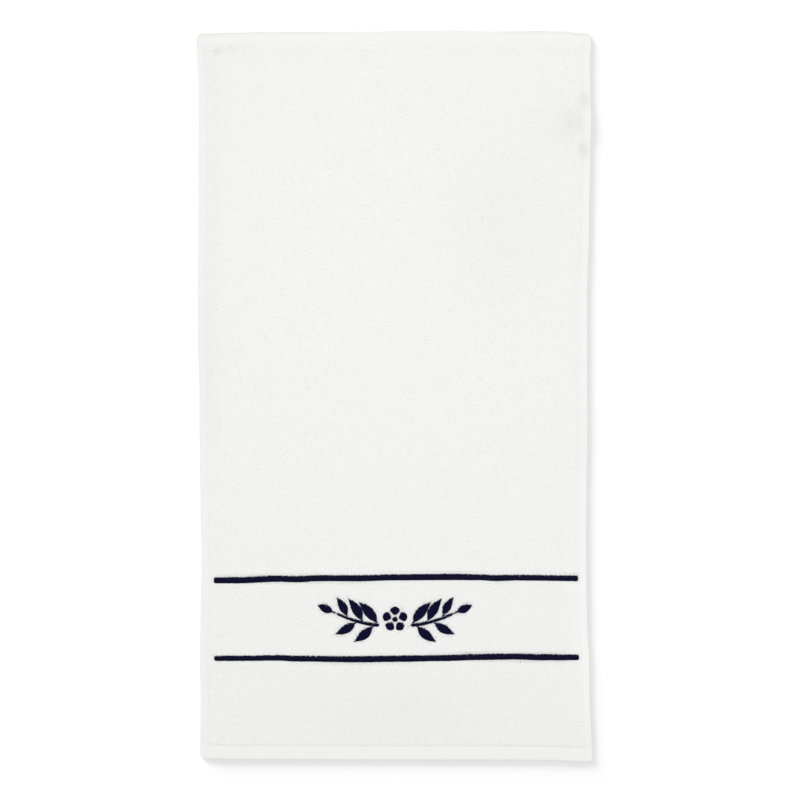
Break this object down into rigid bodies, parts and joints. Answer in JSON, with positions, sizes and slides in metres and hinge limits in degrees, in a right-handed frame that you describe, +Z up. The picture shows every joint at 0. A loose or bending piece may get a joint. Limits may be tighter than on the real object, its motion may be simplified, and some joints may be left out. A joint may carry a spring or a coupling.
{
  "type": "terry hand towel",
  "caption": "Flat white terry hand towel with folded hems, stitched navy bars near one end and a leafy stitched sprig between them.",
  "frame": {"origin": "centre of the towel's box on the surface it lies on", "axes": "+X across the towel, +Y along its length away from the stitched end, +Z up out of its face"},
  "size_m": [0.414, 0.7639, 0.0052],
  "materials": {
    "white_terry": "looped cotton pile, matte",
    "navy_thread": "satin-stitched thread, soft sheen"
  },
  "bodies": {
    "root": {"towel": "white_terry", "upper_bar": "navy_thread", "lower_bar": "navy_thread", "flower_eye": "navy_thread", "petal_1": "navy_thread", "petal_2": "navy_thread", "petal_3": "navy_thread", "petal_4": "navy_thread", "petal_5": "navy_thread", "stem_left": "navy_thread", "leaf_left_1": "navy_thread", "leaf_left_2": "navy_thread", "leaf_left_3": "navy_thread", "leaf_left_4": "navy_thread", "leaf_left_5": "navy_thread", "leaf_left_6": "navy_thread", "stem_right": "navy_thread", "leaf_right_1": "navy_thread", "leaf_right_2": "navy_thread", "leaf_right_3": "navy_thread", "leaf_right_4": "navy_thread", "leaf_right_5": "navy_thread", "leaf_right_6": "navy_thread"}
  },
  "joints": []
}
